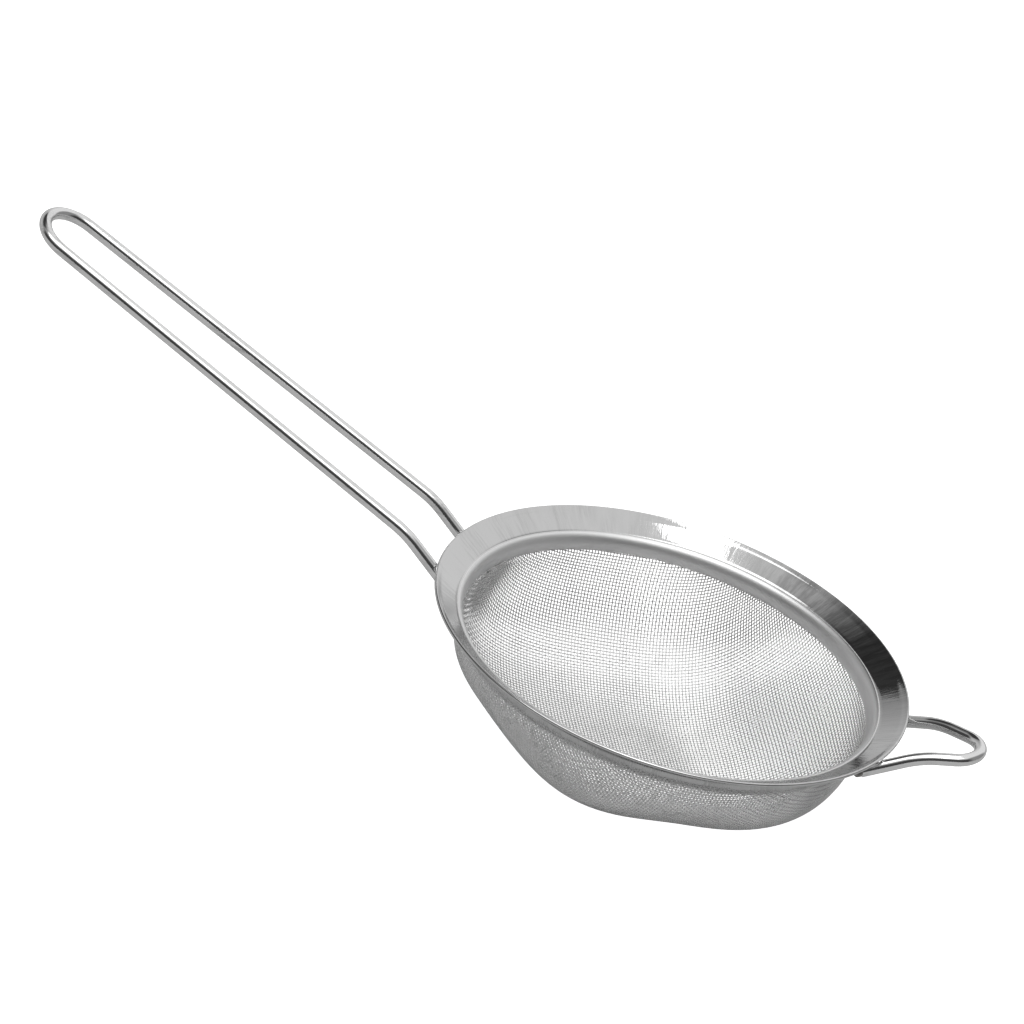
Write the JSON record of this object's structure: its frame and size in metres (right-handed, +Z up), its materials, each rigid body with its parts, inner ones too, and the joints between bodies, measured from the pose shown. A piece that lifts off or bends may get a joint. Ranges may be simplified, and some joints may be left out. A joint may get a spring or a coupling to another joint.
{
  "type": "tea strainer",
  "caption": "Small round tea strainer with a woven steel bowl under a flared rim, a long bent-wire handle and a short wire rest loop on the far side.",
  "frame": {"origin": "centre of the flat base of the bowl, on the rim's axis", "axes": "+Z up along the rim's axis, -X along the long handle, +X towards the rest loop"},
  "size_m": [0.1957, 0.09, 0.0591],
  "materials": {
    "rim_steel": "satin with fine radial polishing lines, brighter on the rolled edge and bead",
    "band_steel": "dull satin",
    "cloth_steel": "bright drawn wire, woven",
    "wire_steel": "polished drawn wire",
    "weld_steel": "dull, slightly darkened weld metal"
  },
  "bodies": {
    "root": {"rim_ring": "rim_steel", "clamp_band": "band_steel", "mesh_bowl": "cloth_steel", "handle_wire": "wire_steel", "rest_wire": "wire_steel", "handle_weld_left": "weld_steel", "handle_weld_right": "weld_steel", "rest_weld_left": "weld_steel", "rest_weld_right": "weld_steel"}
  },
  "joints": []
}
